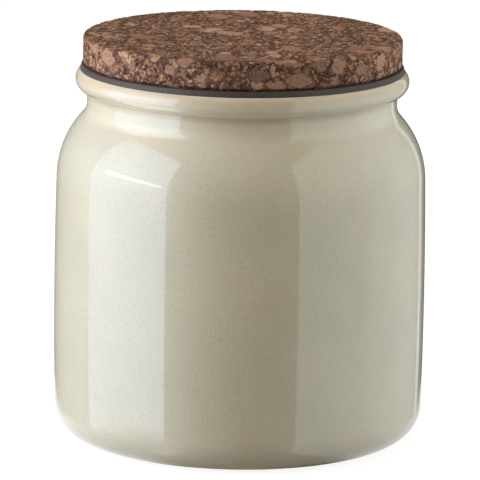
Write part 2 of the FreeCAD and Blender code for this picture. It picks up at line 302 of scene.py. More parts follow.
@dataclass(frozen=True)
class AgglomeratedCork:
    """Expanded cork granules, pressed with binder into a block, then sawn and ground.

    The eye gets a dark crumb of small granules, pale pink-brown flakes of clean cork up
    to a centimetre long, and a dry matt face pitted between the granules. The large flakes
    are placed one by one above the disc's foot, whose height is given.
    """

    disc_low: float
    burnt: str = "#341F17"
    crumb_dark: str = "#5A3A28"
    crumb: str = "#845B43"
    crumb_light: str = "#B08360"
    flake_dark: str = "#936850"
    flake: str = "#B28364"
    flake_light: str = "#CBA07E"
    dust: str = "#E6BC98"
    crumb_size: float = 1.0
    grades: tuple[CorkGrade, ...] = (
        CorkGrade(2.3, 0.20, 0.40, 2.4), CorkGrade(4.4, 0.20, 0.42, 3.2),
        CorkGrade(8.5, 0.14, 0.42, 4.4),
    )
    flakes: tuple[CorkFlake, ...] = (
        CorkFlake(12.1, 51.0, 1.7, (7.5, 4.0, 3.4), "#B08465"),
        CorkFlake(20.1, 51.0, 3.0, (8.8, 4.0, 5.0), "#B08465"),
        CorkFlake(5.7, 51.0, 4.9, (6.5, 3.0, 3.4), "#8C6753"),
        CorkFlake(35.9, 51.0, 6.9, (5.0, 3.0, 5.8), "#B98B6B"),
        CorkFlake(27.7, 51.0, 7.6, (4.9, 4.0, 3.8), "#9A7057"),
        CorkFlake(47.6, 51.0, 4.6, (5.6, 4.0, 4.2), "#A87C5E"),
        CorkFlake(58.4, 51.0, 5.8, (6.2, 3.0, 5.1), "#BC8E6E"),
        CorkFlake(15.7, 50.5, 9.0, (7.8, 5.0, 2.2), "#B08465"),
        CorkFlake(-56.2, 50.0, 6.3, (8.6, 5.0, 6.4), "#B4866A"),
        CorkFlake(-66.0, 50.5, 7.4, (6.0, 4.0, 4.8), "#AD7F62"),
        CorkFlake(-47.2, 50.5, 8.4, (4.6, 4.0, 2.6), "#C79C7A"),
        CorkFlake(-20.5, 50.5, 8.6, (5.0, 5.0, 3.8), "#B08465"),
        CorkFlake(-15.0, 51.0, 3.8, (3.2, 3.0, 3.2), "#BC9070"),
        CorkFlake(-8.5, 51.0, 5.0, (3.6, 3.0, 2.2), "#A07458"),
        CorkFlake(-82.0, 33.5, 9.3, (9.5, 5.6, 3.0), "#A77A5E"),
        CorkFlake(-77.0, 32.0, 9.3, (7.0, 8.0, 3.0), "#9B6E54"),
        CorkFlake(-130.0, 5.5, 9.3, (7.0, 11.0, 3.0), "#B98C6C"),
        CorkFlake(-167.0, 37.5, 9.3, (7.0, 10.0, 3.0), "#A87C60"),
        CorkFlake(148.0, 22.9, 9.3, (5.5, 6.0, 3.0), "#BC8F70"),
        CorkFlake(128.0, 21.2, 9.3, (6.5, 5.6, 3.0), "#B58767"),
        CorkFlake(-133.0, 23.0, 9.3, (5.0, 7.0, 3.0), "#C79C7A"),
        CorkFlake(65.0, 49.0, 9.3, (8.0, 6.5, 3.0), "#B58767"),
        CorkFlake(53.0, 47.2, 9.3, (6.0, 8.0, 2.6), "#A9795A"),
    )
    tear_size: float = 1.3
    tear_reach: float = 2.3
    rag_size: float = 2.4
    rag_reach: float = 5.0
    dust_size: float = 0.9
    relief: float = 0.4
    roughness: float = 0.86

    def build(self) -> bpy.types.Material:
        """Make the cork.

        Returns:
            The cork's material.
        """
        material, tree = new_material("cork_agglomerate_ground")
        place = add_node(tree, "ShaderNodeTexCoord").outputs["Object"]
        # Torn granules have ragged outlines, so each pattern reads a place that wanders.
        tear = add_node(tree, "ShaderNodeTexNoise", {
            "Vector": place, "Scale": per_mm(self.tear_size), "Detail": 4.0, "Roughness": 0.7,
        })
        crumb_place = add_node(tree, "ShaderNodeVectorMath", {
            0: tear.outputs["Color"], 1: (self.tear_reach * MM,) * 3, 2: place,
        }, operation="MULTIPLY_ADD").outputs[0]
        crumbs = add_node(tree, "ShaderNodeTexVoronoi", {
            "Vector": crumb_place, "Scale": per_mm(self.crumb_size),
        })
        tone = add_node(tree, "ShaderNodeSeparateColor", {0: crumbs.outputs["Color"]})
        crumb = add_node(tree, "ShaderNodeValToRGB", {0: tone.outputs[0]}, stops=(
            (0.0, srgb(self.burnt)), (0.28, srgb(self.crumb_dark)), (0.66, srgb(self.crumb)),
            (0.90, srgb(self.crumb_light)), (1.0, srgb(self.flake_light)),
        ))
        colour = crumb.outputs["Color"]
        flake_mask = None
        for number, grade in enumerate(self.grades):
            swirl = add_node(tree, "ShaderNodeTexNoise", {
                "Vector": place, "Scale": per_mm(grade.spacing * 0.45), "Detail": 4.0,
                "Roughness": 0.62,
            })
            torn = add_node(tree, "ShaderNodeVectorMath", {
                0: swirl.outputs["Color"], 1: (grade.ragged * MM,) * 3, 2: place,
            }, operation="MULTIPLY_ADD").outputs[0]
            moved = add_node(tree, "ShaderNodeMapping", {
                0: torn, 1: (number * 0.013, number * 0.007, number * 0.011),
                2: (0.4 * number, 0.9 * number, 0.3), 3: (1.0, 0.72, 1.15),
            })
            cells = add_node(tree, "ShaderNodeTexVoronoi", {
                "Vector": moved.outputs[0], "Scale": per_mm(grade.spacing),
                "Randomness": 0.9,
            })
            lot = add_node(tree, "ShaderNodeSeparateColor", {0: cells.outputs["Color"]})
            inside = add_node(tree, "ShaderNodeMapRange", {
                "Value": cells.outputs["Distance"], "From Min": grade.radius + 0.03,
                "From Max": grade.radius - 0.05,
            })
            chosen = add_node(tree, "ShaderNodeMath", {
                0: lot.outputs[0], 1: grade.share,
            }, operation="LESS_THAN")
            flake_mask = add_node(tree, "ShaderNodeMath", {
                0: inside.outputs[0], 1: chosen.outputs[0],
            }, operation="MULTIPLY").outputs[0]
            shade = add_node(tree, "ShaderNodeValToRGB", {0: lot.outputs[1]}, stops=(
                (0.0, srgb(self.flake_dark)), (0.5, srgb(self.flake)),
                (1.0, srgb(self.flake_light)),
            ))
            colour = add_node(tree, "ShaderNodeMix", {
                0: flake_mask, 6: colour, 7: shade.outputs["Color"],
            }, data_type="RGBA").outputs[2]
        rag = add_node(tree, "ShaderNodeTexNoise", {
            "Vector": place, "Scale": per_mm(self.rag_size), "Detail": 5.0, "Roughness": 0.66,
        })
        ragged = add_node(tree, "ShaderNodeVectorMath", {
            0: rag.outputs["Color"], 1: (0.5, 0.5, 0.5),
        }, operation="SUBTRACT").outputs[0]
        worn_place = add_node(tree, "ShaderNodeVectorMath", {
            0: ragged, 1: (self.rag_reach * MM,) * 3, 2: place,
        }, operation="MULTIPLY_ADD").outputs[0]
        for flake in self.flakes:
            turn = math.radians(flake.bearing)
            moved = add_node(tree, "ShaderNodeMapping", {
                0: worn_place, 2: (0.0, 0.0, turn),
                1: (flake.radius * MM * math.sin(turn), -flake.radius * MM * math.cos(turn),
                    (self.disc_low + flake.height) * MM),
                3: tuple(size * MM / 2 for size in flake.sizes),
            }, vector_type="TEXTURE").outputs[0]
            off = add_node(tree, "ShaderNodeVectorMath", {0: moved}, operation="LENGTH")
            # The binder round a large flake is charred and dark.
            charred = add_node(tree, "ShaderNodeMapRange", {
                "Value": off.outputs["Value"], "From Min": 1.30, "From Max": 1.05,
                "To Max": 0.75,
            }).outputs[0]
            colour = add_node(tree, "ShaderNodeMix", {
                0: charred, 6: colour, 7: srgb(self.crumb_dark),
            }, data_type="RGBA").outputs[2]
            within = add_node(tree, "ShaderNodeMapRange", {
                "Value": off.outputs["Value"], "From Min": 1.06, "From Max": 0.96,
            }).outputs[0]
            colour = add_node(tree, "ShaderNodeMix", {
                0: within, 6: colour, 7: srgb(flake.colour),
            }, data_type="RGBA").outputs[2]
        # Saw dust and open pores are finer than this, and are drawn as coarse as shows.
        grain = add_node(tree, "ShaderNodeTexNoise", {
            "Vector": place, "Scale": per_mm(self.dust_size), "Detail": 5.0, "Roughness": 0.78,
        })
        dusty = add_node(tree, "ShaderNodeMapRange", {
            "Value": grain.outputs["Fac"], "From Min": 0.56, "From Max": 0.70,
            "To Max": 0.6,
        })
        dusted = add_node(tree, "ShaderNodeMix", {
            0: dusty.outputs[0], 6: colour, 7: srgb(self.dust),
        }, data_type="RGBA")
        pores = add_node(tree, "ShaderNodeMapRange", {
            "Value": grain.outputs["Fac"], "From Min": 0.32, "From Max": 0.48,
            "To Min": 0.38,
        })
        seams = add_node(tree, "ShaderNodeTexVoronoi", {
            "Vector": crumb_place, "Scale": per_mm(self.crumb_size),
        }, feature="DISTANCE_TO_EDGE")
        seamed = add_node(tree, "ShaderNodeMapRange", {
            "Value": seams.outputs["Distance"], "From Max": 0.10, "To Min": 0.55,
        })
        dark = add_node(tree, "ShaderNodeMath", {
            0: pores.outputs[0], 1: seamed.outputs[0],
        }, operation="MULTIPLY")
        pored = add_node(tree, "ShaderNodeMix", {
            0: 1.0, 6: dusted.outputs[2], 7: dark.outputs[0],
        }, data_type="RGBA", blend_type="MULTIPLY")
        domed = add_node(tree, "ShaderNodeMath", {
            0: crumbs.outputs["Distance"], 1: -0.5, 2: grain.outputs["Fac"],
        }, operation="MULTIPLY_ADD")
        raised = add_node(tree, "ShaderNodeMath", {
            0: flake_mask, 1: 0.4, 2: domed.outputs[0],
        }, operation="MULTIPLY_ADD")
        bump = add_node(tree, "ShaderNodeBump", {
            "Height": raised.outputs[0], "Strength": 0.9, "Distance": self.relief * MM,
        })
        shader = add_node(tree, "ShaderNodeBsdfPrincipled", {
            "Base Color": pored.outputs[2], "Roughness": self.roughness,
            "Specular IOR Level": 0.3, "Normal": bump.outputs[0],
        })
        add_node(tree, "ShaderNodeOutputMaterial", {0: shader.outputs[0]})
        return material


@dataclass(frozen=True)
class MouldedSilicone:
    """Food-grade silicone rubber, moulded in a blasted tool: matt taupe-grey and soft."""

    rubber: str = "#3C312B"
    bloom: str = "#4B3F37"
    blast: float = 0.5
    blast_depth: float = 0.05
    ior: float = 1.41
    roughness: float = 0.5

    def build(self) -> bpy.types.Material:
        """Make the silicone.

        Returns:
            The silicone's material.
        """
        material, tree = new_material("silicone_moulded_matt")
        place = add_node(tree, "ShaderNodeTexCoord").outputs["Object"]
        grain = add_node(tree, "ShaderNodeTexNoise", {
            "Vector": place, "Scale": per_mm(self.blast), "Detail": 2.0,
        })
        colour = add_node(tree, "ShaderNodeValToRGB", {0: grain.outputs["Fac"]}, stops=(
            (0.35, srgb(self.rubber)), (0.70, srgb(self.bloom)),
        ))
        bump = add_node(tree, "ShaderNodeBump", {
            "Height": grain.outputs["Fac"], "Strength": 0.3, "Distance": self.blast_depth * MM,
        })
        shader = add_node(tree, "ShaderNodeBsdfPrincipled", {
            "Base Color": colour.outputs["Color"], "Roughness": self.roughness,
            "IOR": self.ior, "Normal": bump.outputs[0],
        })
        add_node(tree, "ShaderNodeOutputMaterial", {0: shader.outputs[0]})
        return material


class HalfSection:
    """A half-section in the XZ plane, drawn edge by edge and turned about the Z axis."""

    def __init__(self, start: Point) -> None:
        """Start the outline at a point, in mm."""
        self.mesh = bmesh.new()
        self.tip = self.mesh.verts.new((start[0] * MM, 0.0, start[1] * MM))

    def line(self, end: Point, pieces: int = 1) -> "HalfSection":
        """Draw a straight edge from the tip.

        Args:
            end: Where the edge ends, in mm.
            pieces: How many equal pieces it is cut into.

        Returns:
            The section itself.
        """
        step = (Vector((end[0] * MM, 0.0, end[1] * MM)) - self.tip.co) / pieces
        for _ in range(pieces):
            grown = bmesh.ops.extrude_vert_indiv(self.mesh, verts=[self.tip])
            self.tip = grown["verts"][0]
            self.tip.co += step
        return self

    def arc(self, centre: Point, sweep: float, pieces: int) -> "HalfSection":
        """Swing the tip about a centre.

        Args:
            centre: The arc's centre, in mm.
            sweep: The angle in radians, anticlockwise where positive.
            pieces: How many equal pieces the arc is cut into.

        Returns:
            The section itself.
        """
        swung = bmesh.ops.spin(
            self.mesh, geom=[self.tip], cent=(centre[0] * MM, 0.0, centre[1] * MM),
            axis=(0.0, -1.0, 0.0), dvec=(0.0, 0.0, 0.0), angle=sweep, space=Matrix(),
            steps=pieces, use_merge=False, use_normal_flip=False, use_duplicate=False,
        )
        last = swung["geom_last"]
        self.tip = next(part for part in last if isinstance(part, bmesh.types.BMVert))
        return self

    def close(self, pieces: int = 1) -> "HalfSection":
        """Draw a straight edge back to the outline's first point.

        Args:
            pieces: How many equal pieces it is cut into.

        Returns:
            The section itself.
        """
        self.mesh.verts.ensure_lookup_table()
        first = self.mesh.verts[0].co / MM
        return self.line((first.x, first.z), pieces)

    def turn(self, steps: int) -> bmesh.types.BMesh:
        """Turn the outline a full circle.

        Args:
            steps: How many steps the circle has.

        Returns:
            The turned mesh, closed, with its faces outwards.
        """
        bmesh.ops.remove_doubles(self.mesh, verts=self.mesh.verts, dist=WELD * MM)
        bmesh.ops.spin(
            self.mesh, geom=self.mesh.verts[:] + self.mesh.edges[:], cent=(0.0, 0.0, 0.0),
            axis=(0.0, 0.0, 1.0), dvec=(0.0, 0.0, 0.0), angle=math.tau, space=Matrix(),
            steps=steps, use_merge=True, use_normal_flip=False, use_duplicate=False,
        )
        bmesh.ops.remove_doubles(self.mesh, verts=self.mesh.verts, dist=WELD * MM)
        bmesh.ops.recalc_face_normals(self.mesh, faces=self.mesh.faces)
        return self.mesh


def ease(mesh: bmesh.types.BMesh, ring: Point, amount: float, segments: int) -> None:
    """Round a turned ring edge.

    Args:
        mesh: The turned mesh.
        ring: The ring's radius and height, in mm.
        amount: The round's setback, in mm.
        segments: How many faces the round has.
    """
    def on_ring(vert: bmesh.types.BMVert) -> bool:
        """Tell whether a vertex lies on the ring."""
        radius = math.hypot(vert.co.x, vert.co.y) / MM
        return abs(radius - ring[0]) < SAME_PLACE and abs(vert.co.z / MM - ring[1]) < SAME_PLACE

    edges = [edge for edge in mesh.edges if all(on_ring(vert) for vert in edge.verts)]
    if not edges:
        raise ValueError(f"no ring at {ring}")
    bmesh.ops.bevel(
        mesh, geom=edges, offset=amount * MM, offset_type="OFFSET", segments=segments,
        profile=0.5, affect="EDGES", material=-1, clamp_overlap=True,
    )


def finish_piece(
    mesh: bmesh.types.BMesh, name: str, node: str,
    materials: Iterable[bpy.types.Material], crisp: float,
) -> bpy.types.Object:
    """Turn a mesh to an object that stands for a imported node.

    Args:
        mesh: The piece's mesh, in metres; it is freed.
        name: The piece's name.
        node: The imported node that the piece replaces.
        materials: The piece's materials, in the order of its face numbers.
        crisp: The angle in degrees past which an edge stays sharp.

    Returns:
        The piece, riding on the part's body.
    """
    for face in mesh.faces:
        face.smooth = True
    data = bpy.data.meshes.new(name)
    mesh.to_mesh(data)
    mesh.free()
    data.set_sharp_from_angle(angle=math.radians(crisp))
    for material in materials:
        data.materials.append(material)
    piece = bpy.data.objects.new(name, data)
    bpy.context.scene.collection.objects.link(piece)
    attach(piece, "root")
    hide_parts(node)
    return piece


def bearing(start: Point, end: Point) -> float:
    """Return the angle of the line from one point to another."""
    return math.atan2(end[1] - start[1], end[0] - start[0])


def beside(centre: Point, distance: float, height: float) -> Point:
    """Return the point at a height that lies a distance to the right of a centre."""
    return centre[0] + math.sqrt(distance ** 2 - (height - centre[1]) ** 2), height


def meeting(first: Point, first_radius: float, second: Point, second_radius: float) -> Point:
    """Find where two arcs meet, at the crossing to the lower right.

    Args:
        first: The first arc's centre.
        first_radius: Its radius.
        second: The second arc's centre.
        second_radius: Its radius.

    Returns:
        The point that lies at each radius from its centre.
    """
    gap = math.dist(first, second)
    along = (gap ** 2 + first_radius ** 2 - second_radius ** 2) / (2 * gap)
    aside = math.sqrt(first_radius ** 2 - along ** 2)
    ahead = bearing(first, second)
    across = along * math.cos(ahead) - aside * math.sin(ahead)
    up = along * math.sin(ahead) + aside * math.cos(ahead)
    return first[0] + across, first[1] + up


@dataclass(frozen=True)
class StonewareJar:
    """The jar: an even wall with a rolled rim, a recessed foot and a bare foot ring.

    The wall's outer line is a chain of tangent arcs, and its inner line runs beside it.
    """

    body_radius: float = 60.0
    belly_height: float = 45.0
    belly_radius: float = 1600.0
    corner_radius: float = 10.4
    shoulder_radius: float = 30.0
    cove_radius: float = 6.4
    neck_inset: float = 10.1
    neck_depth: float = 10.8
    rim_height: float = 119.7
    bead_radius: float = 3.9
    bead_overhang: float = 3.75
    bead_drop: float = 3.05
    wall: float = 5.0
    floor_thickness: float = 5.0
    floor_corner: float = 8.0
    mouth_round: float = 1.4
    foot_width: float = 5.0
    foot_recess: float = 1.6
    foot_slope: float = 1.2
    foot_round: float = 0.6
    crease_round: float = 0.5
    bare_height: float = 0.05
    steps: int = 288

    @property
    def neck_radius(self) -> float:
        """The neck's outer radius."""
        return self.body_radius - self.neck_inset

    @property
    def mouth_radius(self) -> float:
        """The mouth's radius."""
        return self.neck_radius - self.wall

    def build(
        self, glaze: bpy.types.Material, clay: bpy.types.Material,
    ) -> bpy.types.Object:
        """Turn the jar and dress it.

        Args:
            glaze: The material of the whole jar but the foot ring.
            clay: The material of the foot ring.

        Returns:
            The jar.
        """
        neck = self.neck_radius
        floor = self.foot_recess + self.floor_thickness
        belly_centre = (self.body_radius - self.belly_radius, self.belly_height)
        corner_centre = beside(
            belly_centre, self.belly_radius - self.corner_radius, self.corner_radius)
        inner_centre = beside(
            belly_centre, self.belly_radius - self.wall - self.floor_corner,
            floor + self.floor_corner)
        cove_centre = (neck + self.cove_radius, self.rim_height - self.neck_depth)
        shoulder_centre = meeting(
            cove_centre, self.shoulder_radius + self.cove_radius,
            belly_centre, self.belly_radius - self.shoulder_radius)
        low = bearing(belly_centre, corner_centre)
        inner_low = bearing(belly_centre, inner_centre)
        high = bearing(belly_centre, shoulder_centre)
        turn = bearing(shoulder_centre, cove_centre)
        bead_centre = (
            neck + self.bead_overhang - self.bead_radius, self.rim_height - self.bead_drop)
        bead_start = -math.acos((neck - bead_centre[0]) / self.bead_radius)
        bead_end = math.asin(self.bead_drop / self.bead_radius)
        crease = (neck, bead_centre[1] + self.bead_radius * math.sin(bead_start))
        foot_inner = corner_centre[0] - self.foot_width

        section = HalfSection((0.0, self.foot_recess))
        section.line((foot_inner - self.foot_slope, self.foot_recess), 6)
        section.line((foot_inner, 0.0)).line((corner_centre[0], 0.0))
        section.arc(corner_centre, low + math.pi / 2, 20)
        section.arc(belly_centre, high - low, 28)
        section.arc(shoulder_centre, turn - high, 20)
        section.arc(cove_centre, -turn, 12)
        section.line(crease, 2)
        section.arc(bead_centre, bead_end - bead_start, 28)
        section.line((self.mouth_radius, self.rim_height), 2)
        section.line((self.mouth_radius, cove_centre[1]), 3)
        section.arc(cove_centre, turn, 12)
        section.arc(shoulder_centre, high - turn, 14)
        section.arc(belly_centre, inner_low - high, 20)
        section.arc(inner_centre, -inner_low - math.pi / 2, 10)
        section.line((0.0, floor), 6)
        mesh = section.turn(self.steps)
        ease(mesh, crease, self.crease_round, 3)
        ease(mesh, (foot_inner, 0.0), self.foot_round, 3)
        ease(mesh, (self.mouth_radius, self.rim_height), self.mouth_round, 4)
        for face in mesh.faces:
            bare = face.calc_center_median().z < self.bare_height * MM
            face.material_index = 1 if bare else 0
        return finish_piece(
            mesh, "jar_glazed", "stoneware_jar", (glaze, clay), 40.0)


@dataclass(frozen=True)
class PlugFit:
    """The places at which the lid's plug, the seal and the jar's mouth fit each other."""

    jar: StonewareJar
    disc_setback: float = 2.3
    flange_thickness: float = 1.85
    flange_overhang: float = 0.95
    flange_slope: float = 0.6
    flange_round: float = 0.35
    plug_gap: float = 2.5
    lip_step: float = 1.9
    seal_slack: float = 0.1
    sleeve_thickness: float = 1.3
    sleeve_tail: float = 0.5
    fin_count: int = 3
    fin_pitch: float = 2.0
    fin_start: float = 2.4
    fin_root: float = 1.1
    fin_tip: float = 0.5
    fin_lift: float = 0.7
    fin_gap: float = 0.15

    @property
    def disc_radius(self) -> float:
        """The lid disc's radius."""
        return self.jar.neck_radius + self.jar.bead_overhang - self.disc_setback

    @property
    def disc_low(self) -> float:
        """The height of the disc's underside, which sits on the seal's flange."""
        return self.jar.rim_height + self.flange_thickness

    @property
    def sleeve_low(self) -> float:
        """The height of the seal's lower end."""
        stack = self.fin_start + (self.fin_count - 1) * self.fin_pitch + self.fin_root
        return self.jar.rim_height - stack - self.sleeve_tail

    @property
    def lip_radius(self) -> float:
        """The radius of the plug's lip, which holds the seal from below."""
        return self.jar.mouth_radius - self.plug_gap

    @property
    def seat_radius(self) -> float:
        """The radius of the seat turned in the plug."""
        return self.lip_radius - self.lip_step


@dataclass(frozen=True)
class CorkLid:
    """The lid: a ground disc of pressed cork, with a plug turned below it.

    The face is pitted between granules, fine grain lies over that, and the top edge is worn in
    spots. The pits are half as deep near the disc's foot, whose edge stands clear of the seal.
    """

    fit: PlugFit
    disc_thickness: float = 9.3
    top_round: float = 1.05
    low_round: float = 0.6
    foot_lift: float = 0.5
    foot_depth: float = 1.3
    lip_height: float = 3.0
    lip_bevel: float = 1.0
    steps: int = 480
    granule: float = 2.1
    pit_width: float = 0.25
    pit_depth: float = 0.22
    grain: float = 0.9
    grain_depth: float = 0.10
    worn_spot: float = 3.1
    worn_width: float = 1.6
    wear: float = 0.30
    smooth_foot: float = 0.05
    shallow_foot: float = 1.0
    top_band: float = 0.1

    def build(self, cork: bpy.types.Material) -> bpy.types.Object:
        """Turn the lid, wear its face and dress it.

        Args:
            cork: The lid's material.

        Returns:
            The lid.
        """
        fit = self.fit
        lip_top = fit.sleeve_low - fit.seal_slack
        lip_low = lip_top - self.lip_height
        disc, disc_low = fit.disc_radius, fit.disc_low
        disc_top = disc_low + self.disc_thickness
        foot = disc_low + self.foot_lift
        section = HalfSection((0.0, lip_low))
        section.line((fit.lip_radius - self.lip_bevel, lip_low), 12)
        section.line((fit.lip_radius, lip_low + self.lip_bevel), 2)
        section.line((fit.lip_radius, lip_top), 2).line((fit.seat_radius, lip_top), 2)
        section.line((fit.seat_radius, disc_low), 6)
        section.line((disc - self.foot_depth, disc_low), 12)
        section.line((disc - self.foot_depth, foot))
        section.line((disc - self.low_round, foot), 2)
        section.arc((disc - self.low_round, foot + self.low_round), math.pi / 2, 3)
        section.line((disc, disc_top - self.top_round), 16)
        section.arc((disc - self.top_round, disc_top - self.top_round), math.pi / 2, 5)
        section.line((0.0, disc_top), 74)
        mesh = section.turn(self.steps)
        self.roughen(mesh)
        return finish_piece(mesh, "lid_cork", "cork_lid", (cork,), 50.0)

    def roughen(self, mesh: bmesh.types.BMesh) -> None:
        """Sink the disc's face between its granules, and wear its top edge unevenly.

        Args:
            mesh: The turned lid.
        """
        disc, disc_low = self.fit.disc_radius, self.fit.disc_low
        disc_top = disc_low + self.disc_thickness
        foot = disc_low + self.foot_lift
        mesh.normal_update()
        moves = []
        for vert in mesh.verts:
            radius = math.hypot(vert.co.x, vert.co.y) / MM
            height = vert.co.z / MM
            on_side = height >= foot + self.smooth_foot and radius >= disc - self.foot_depth
            on_top = height >= disc_top - self.top_band
            if not (on_side or on_top):
                continue
            near = noise.voronoi(vert.co / (self.granule * MM))[0]
            sink = self.pit_depth * max(0.0, 1.0 - (near[1] - near[0]) / self.pit_width)
            sink += self.grain_depth * abs(noise.noise(vert.co / (self.grain * MM)))
            from_edge = math.hypot(disc - radius, disc_top - height)
            edge = max(0.0, 1.0 - from_edge / self.worn_width)
            sink += self.wear * edge * abs(noise.noise(vert.co / (self.worn_spot * MM)))
            if height < disc_low + self.shallow_foot:
                sink /= 2
            moves.append((vert, vert.normal * (-sink * MM)))
        for vert, move in moves:
            vert.co += move


@dataclass(frozen=True)
class SiliconeSeal:
    """The seal: a flange on the rim, and a finned sleeve round the plug."""

    fit: PlugFit
    steps: int = 240

    def build(self, silicone: bpy.types.Material) -> bpy.types.Object:
        """Turn the seal with its fins and dress it.

        Args:
            silicone: The seal's material.

        Returns:
            The seal.
        """
        fit = self.fit
        rim = fit.jar.rim_height
        inner = fit.seat_radius + fit.seal_slack
        outer = inner + fit.sleeve_thickness
        flange = fit.disc_radius + fit.flange_overhang
        reach = fit.jar.mouth_radius - fit.fin_gap
        section = HalfSection((inner, fit.sleeve_low)).line((outer, fit.sleeve_low))
        for number in reversed(range(fit.fin_count)):
            level = rim - fit.fin_start - fit.fin_root / 2 - number * fit.fin_pitch
            section.line((outer, level - fit.fin_root / 2))
            section.line((reach, level + fit.fin_lift - fit.fin_tip / 2), 2)
            section.line((reach, level + fit.fin_lift + fit.fin_tip / 2))
            section.line((outer, level + fit.fin_root / 2), 2)
        section.line((outer, rim)).line((flange, rim), 4)
        section.line((flange - fit.flange_slope, fit.disc_low), 2)
        section.line((inner, fit.disc_low), 4).close(4)
        mesh = section.turn(self.steps)
        ease(mesh, (flange, rim), fit.flange_round, 3)
        ease(mesh, (flange - fit.flange_slope, fit.disc_low), fit.flange_round, 3)
        return finish_piece(
            mesh, "seal_silicone", "silicone_seal", (silicone,), 35.0)


class Reach(Enum):
    """What a light panel does: it lights matt colour, or it shows in the gloss."""

    COLOUR = "colour"
    GLOSS = "gloss"


@dataclass(frozen=True)
class Panel:
    """A flat soft light that faces the jar, placed by bearing round it and by height.

    Its sizes are in metres. The bearing is in degrees from the camera, to the right where
    positive, and the lean tips it over the jar. A strength of 1 shines as bright as white
    paper, whatever the panel's size. A card has a soft edge and round corners. Its strength and
    its corners may change across it, to others at the side of the greater bearing.
    """

    name: str
    bearing: float
    distance: float
    width: float
    low: float
    high: float
    strength: float
    reach: Reach
    soft: float = 0.05
    corner: float = 0.10
    far_strength: float | None = None
    far_corner: float | None = None
    lean: float = 0.0
    tint: str = "#FFFFFF"

    def place(self) -> Matrix:
        """Work out the panel's place.

        Returns:
            The place, with the panel's face to the jar, or over it where it leans.
        """
        angle = math.radians(self.bearing)
        spot = Vector((
            self.distance * math.sin(angle), -self.distance * math.cos(angle),
            (self.low + self.high) / 2,
        ))
        rise = math.pi / 2 - math.radians(self.lean)
        turned = Matrix.Rotation(angle, 4, "Z") @ Matrix.Rotation(rise, 4, "X")
        return Matrix.Translation(spot) @ turned

    def build(self) -> bpy.types.Object:
        """Hang the panel, out of the camera's sight.

        Returns:
            The lamp or the card.
        """
        panel = self.lamp() if self.reach is Reach.COLOUR else self.card()
        panel.visible_camera = False
        bpy.context.scene.collection.objects.link(panel)
        return panel

    def lamp(self) -> bpy.types.Object:
        """Make the panel a lamp that lights matt colour only.

        Returns:
            The lamp.
        """
        data = bpy.data.lights.new(self.name, "AREA")
        data.shape = "RECTANGLE"
        data.size = self.width
        data.size_y = self.high - self.low
        data.energy = self.strength * math.pi * data.size * data.size_y
        data.color = srgb(self.tint)[:3]
        lamp = bpy.data.objects.new(self.name, data)
        lamp.matrix_world = self.place()
        lamp.visible_glossy = False
        return lamp

    def card(self) -> bpy.types.Object:
        """Make the panel a glowing card with soft round corners, seen in the gloss only.

        Returns:
            The card.
        """
        height = self.high - self.low
        mesh = bmesh.new()
        mesh.loops.layers.uv.new("face")
        bmesh.ops.create_grid(mesh, x_segments=1, y_segments=1, size=0.5, calc_uvs=True)
        bmesh.ops.scale(mesh, vec=(self.width, height, 1.0), verts=mesh.verts)
        bmesh.ops.transform(mesh, matrix=self.place(), verts=mesh.verts)
        data = bpy.data.meshes.new(self.name)
        mesh.to_mesh(data)
        mesh.free()
        data.materials.append(self.glow(height))
        card = bpy.data.objects.new(self.name, data)
        card.visible_diffuse = False
        card.visible_shadow = False
        return card

    def glow(self, height: float) -> bpy.types.Material:
        """Make the card's light, which fades at its edges.

        Args:
            height: The card's height.

        Returns:
            The card's material.
        """
        material, tree = new_material(f"{self.name}_diffuser")
        across = add_node(tree, "ShaderNodeUVMap", uv_map="face").outputs[0]
        centred = add_node(tree, "ShaderNodeVectorMath", {
            0: across, 1: (0.5, 0.5, 0.0),
        }, operation="SUBTRACT").outputs[0]
        sized = add_node(tree, "ShaderNodeVectorMath", {
            0: centred, 1: (self.width, height, 0.0),
        }, operation="MULTIPLY").outputs[0]
        # From here to depth: how far inside the card's rounded outline a point lies.
        folded = add_node(tree, "ShaderNodeVectorMath", {0: sized}, operation="ABSOLUTE")
        side = add_node(tree, "ShaderNodeSeparateXYZ", {0: across}).outputs["X"]
        far_corner = self.corner if self.far_corner is None else self.far_corner
        corner = add_node(tree, "ShaderNodeMapRange", {
            "Value": side, "From Min": 0.45, "From Max": 0.55,
            "To Min": self.corner, "To Max": far_corner,
        }).outputs[0]
        corners = add_node(tree, "ShaderNodeCombineXYZ", {0: corner, 1: corner}).outputs[0]
        inset = add_node(tree, "ShaderNodeVectorMath", {
            0: (self.width / 2, height / 2, 0.0), 1: corners,
        }, operation="SUBTRACT").outputs[0]
        past = add_node(tree, "ShaderNodeVectorMath", {
            0: folded.outputs[0], 1: inset,
        }, operation="SUBTRACT").outputs[0]
        outer = add_node(tree, "ShaderNodeVectorMath", {
            0: past, 1: (0.0, 0.0, 0.0),
        }, operation="MAXIMUM").outputs[0]
        reach = add_node(tree, "ShaderNodeVectorMath", {0: outer}, operation="LENGTH")
        depth = add_node(tree, "ShaderNodeMath", {
            0: corner, 1: reach.outputs["Value"],
        }, operation="SUBTRACT").outputs[0]
        shown = add_node(tree, "ShaderNodeMapRange", {
            "Value": depth, "From Max": self.soft,
        }, interpolation_type="SMOOTHSTEP").outputs[0]
        far = self.strength if self.far_strength is None else self.far_strength
        level = add_node(tree, "ShaderNodeMapRange", {
            "Value": side, "To Min": self.strength, "To Max": far,
        })
        light = add_node(tree, "ShaderNodeEmission", {
            "Color": srgb(self.tint), "Strength": level.outputs[0],
        })
        clear = add_node(tree, "ShaderNodeBsdfTransparent")
        faded = add_node(tree, "ShaderNodeMixShader", {
            0: shown, 1: clear.outputs[0], 2: light.outputs[0],
        })
        add_node(tree, "ShaderNodeOutputMaterial", {0: faded.outputs[0]})
        return material


